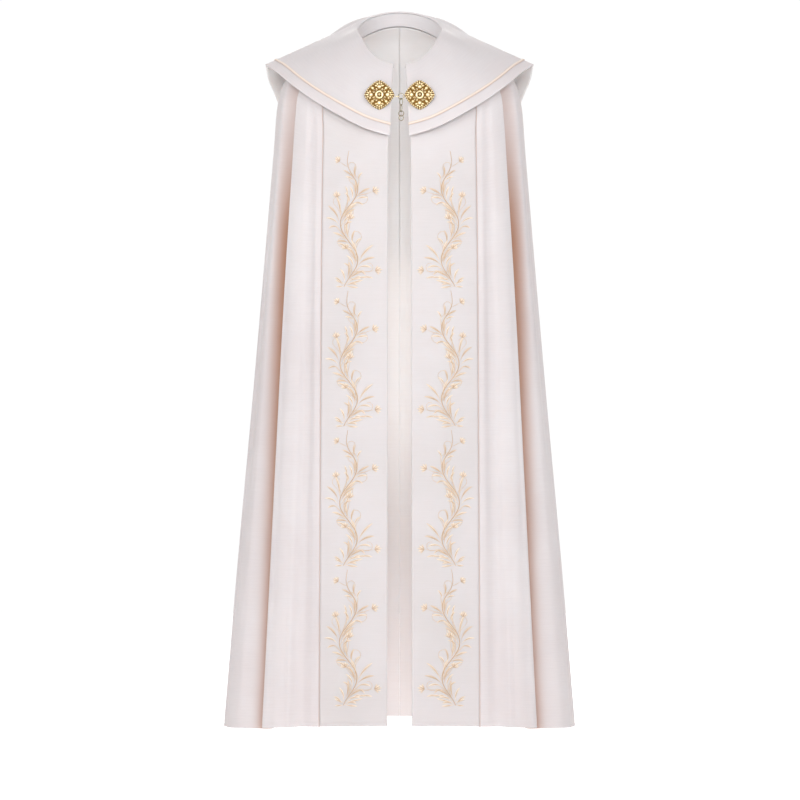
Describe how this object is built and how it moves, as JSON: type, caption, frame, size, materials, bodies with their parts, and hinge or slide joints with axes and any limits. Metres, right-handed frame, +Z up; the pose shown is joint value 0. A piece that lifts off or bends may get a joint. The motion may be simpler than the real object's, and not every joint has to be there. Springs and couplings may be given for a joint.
{
  "type": "cope vestment",
  "caption": "Long open cape of pale satin with embroidered front bands, a broad turned-over collar ending in a hood, and a hooked clasp with a short chain.",
  "frame": {"origin": "centre of the base of the wearer's neck, where the cope rests", "axes": "+Z up along the wearer's height, -Y the way the wearer faces, +X towards the wearer's left"},
  "size_m": [0.702, 0.4289, 1.4396],
  "materials": {
    "satin": "soft satin",
    "band_satin": "soft satin, embroidered",
    "gold_braid": "flat peach-gold braid",
    "clasp_gold": "polished cast relief",
    "chain_steel": "polished pale wire"
  },
  "bodies": {
    "cope": {"front_band_left": "band_satin", "front_band_right": "band_satin", "front_panel_left": "satin", "front_panel_right": "satin", "piping_left": "gold_braid", "piping_right": "gold_braid", "back_panel_left": "satin", "back_panel_right": "satin", "collar_left": "satin", "collar_right": "satin", "collar_braid_left": "gold_braid", "collar_braid_right": "gold_braid", "hood": "satin", "hood_braid": "gold_braid", "neckband": "satin", "clasp_rosette_left": "clasp_gold", "clasp_rosette_right": "clasp_gold", "clasp_hook": "clasp_gold", "clasp_eye": "clasp_gold", "chain_ring_1": "chain_steel"},
    "link_2": {"chain_link_2": "chain_steel"},
    "link_3": {"chain_link_3": "chain_steel"},
    "ring_4": {"chain_ring_4": "chain_steel"},
    "ring_5": {"chain_ring_5": "chain_steel"}
  },
  "joints": [
    {"name": "link_2_swing", "type": "hinge", "parent": "cope", "child": "link_2", "pos_m": [0.0033, -0.15325, -0.1498], "axis": [1, 0, 0], "range_deg": [-15, 15]},
    {"name": "link_3_swing", "type": "hinge", "parent": "link_2", "child": "link_3", "pos_m": [0.0033, -0.15325, -0.1621], "axis": [0.6157, 0.788, 0], "range_deg": [-15, 15]},
    {"name": "ring_4_swing", "type": "hinge", "parent": "link_3", "child": "ring_4", "pos_m": [0.0033, -0.15325, -0.1744], "axis": [-0.3746, 0.9272, 0], "range_deg": [-15, 15]},
    {"name": "ring_5_swing", "type": "hinge", "parent": "ring_4", "child": "ring_5", "pos_m": [0.0033, -0.15325, -0.1829], "axis": [0.9511, -0.309, 0], "range_deg": [-15, 15]}
  ]
}
